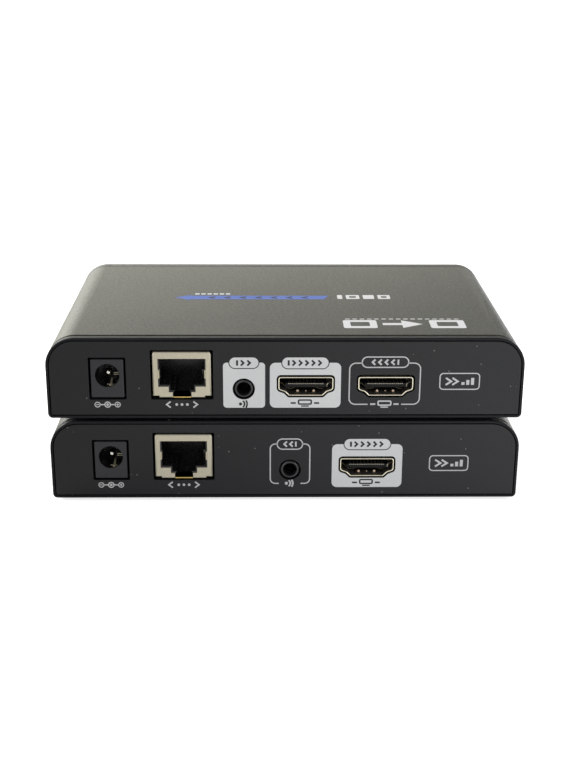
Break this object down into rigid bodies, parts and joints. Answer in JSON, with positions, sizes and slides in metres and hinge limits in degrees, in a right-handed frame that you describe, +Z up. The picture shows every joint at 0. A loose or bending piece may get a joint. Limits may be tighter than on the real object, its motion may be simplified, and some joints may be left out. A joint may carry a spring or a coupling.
{
  "type": "hdmi extender",
  "caption": "Long-run video extender: a flat metal sender box stacked on a matching receiver box, with power, network, infrared and video sockets in the plastic end face.",
  "frame": {"origin": "centre of the stack's footprint, on the surface that it stands on", "axes": "+X to the right seen from the socket side, -Y out of the sockets, +Z up"},
  "size_m": [0.13, 0.08, 0.048],
  "materials": {
    "cover_paint": "fine-grained charcoal paint",
    "tray_metal": "satin charcoal paint",
    "bezel_plastic": "smooth near-black plastic",
    "plate_plastic": "smooth dark grey, with printed marks",
    "screw_steel": "blackened",
    "bright_steel": "zinc plated",
    "foot_rubber": "matt",
    "board_laminate": "solder mask",
    "power_plastic": "fine spark texture",
    "socket_plastic": "satin",
    "contact_nickel": "bright",
    "contact_gold": "gold flash",
    "shield_nickel": "tinned",
    "shell_nickel": "nickel plated",
    "chip_resin": "moulded",
    "sink_aluminium": "extruded",
    "can_aluminium": "drawn",
    "coil_ferrite": "pressed",
    "led_resin": "clear",
    "pipe_plastic": "clear",
    "switch_metal": "plain",
    "button_plastic": "satin"
  },
  "bodies": {
    "receiver_box": {"receiver_top_cover": "cover_paint", "receiver_bottom_cover": "tray_metal", "receiver_connector_bezel": "bezel_plastic", "receiver_connector_plate": "plate_plastic", "receiver_indicator_bezel": "bezel_plastic", "receiver_indicator_plate": "plate_plastic", "receiver_case_screws": "screw_steel", "receiver_rubber_feet": "foot_rubber", "receiver_circuit_board": "board_laminate", "receiver_board_screws": "bright_steel", "receiver_power_jack_housing": "power_plastic", "receiver_power_jack_contacts": "contact_nickel", "receiver_lan_jack_shield": "shield_nickel", "receiver_lan_jack_housing": "socket_plastic", "receiver_lan_jack_contacts": "contact_gold", "receiver_video_jack_shell": "shell_nickel", "receiver_video_jack_tongue": "socket_plastic", "receiver_video_jack_contacts": "contact_gold", "receiver_eye_jack_housing": "socket_plastic", "receiver_eye_jack_contacts": "contact_nickel", "receiver_video_processor": "chip_resin", "receiver_heat_sink": "sink_aluminium", "receiver_interface_chips": "chip_resin", "receiver_lan_transformer": "chip_resin", "receiver_filter_capacitors": "can_aluminium", "receiver_power_coils": "coil_ferrite", "receiver_status_leds": "led_resin", "receiver_light_pipes": "pipe_plastic", "receiver_reset_switch": "switch_metal"},
    "receiver_button": {"receiver_reset_button": "button_plastic"},
    "sender_box": {"sender_top_cover": "cover_paint", "sender_bottom_cover": "tray_metal", "sender_connector_bezel": "bezel_plastic", "sender_connector_plate": "plate_plastic", "sender_indicator_bezel": "bezel_plastic", "sender_indicator_plate": "plate_plastic", "sender_case_screws": "screw_steel", "sender_rubber_feet": "foot_rubber", "sender_circuit_board": "board_laminate", "sender_board_screws": "bright_steel", "sender_power_jack_housing": "power_plastic", "sender_power_jack_contacts": "contact_nickel", "sender_lan_jack_shield": "shield_nickel", "sender_lan_jack_housing": "socket_plastic", "sender_lan_jack_contacts": "contact_gold", "sender_video_jack_shells": "shell_nickel", "sender_video_jack_tongues": "socket_plastic", "sender_video_jack_contacts": "contact_gold", "sender_eye_jack_housing": "socket_plastic", "sender_eye_jack_contacts": "contact_nickel", "sender_video_processor": "chip_resin", "sender_heat_sink": "sink_aluminium", "sender_interface_chips": "chip_resin", "sender_lan_transformer": "chip_resin", "sender_filter_capacitors": "can_aluminium", "sender_power_coils": "coil_ferrite", "sender_status_leds": "led_resin", "sender_light_pipes": "pipe_plastic", "sender_reset_switch": "switch_metal"},
    "sender_button": {"sender_reset_button": "button_plastic"}
  },
  "joints": [
    {"name": "sender_lift", "type": "slide", "parent": "receiver_box", "child": "sender_box", "axis": [0, 0, 1], "range_m": [0, 0.06]},
    {"name": "receiver_reset_press", "type": "slide", "parent": "receiver_box", "child": "receiver_button", "axis": [0, -1, 0], "range_m": [0, 0.00025], "stiffness_N_per_m": 800, "springref_m": -0.0005},
    {"name": "sender_reset_press", "type": "slide", "parent": "sender_box", "child": "sender_button", "axis": [0, -1, 0], "range_m": [0, 0.00025], "stiffness_N_per_m": 800, "springref_m": -0.0005}
  ]
}
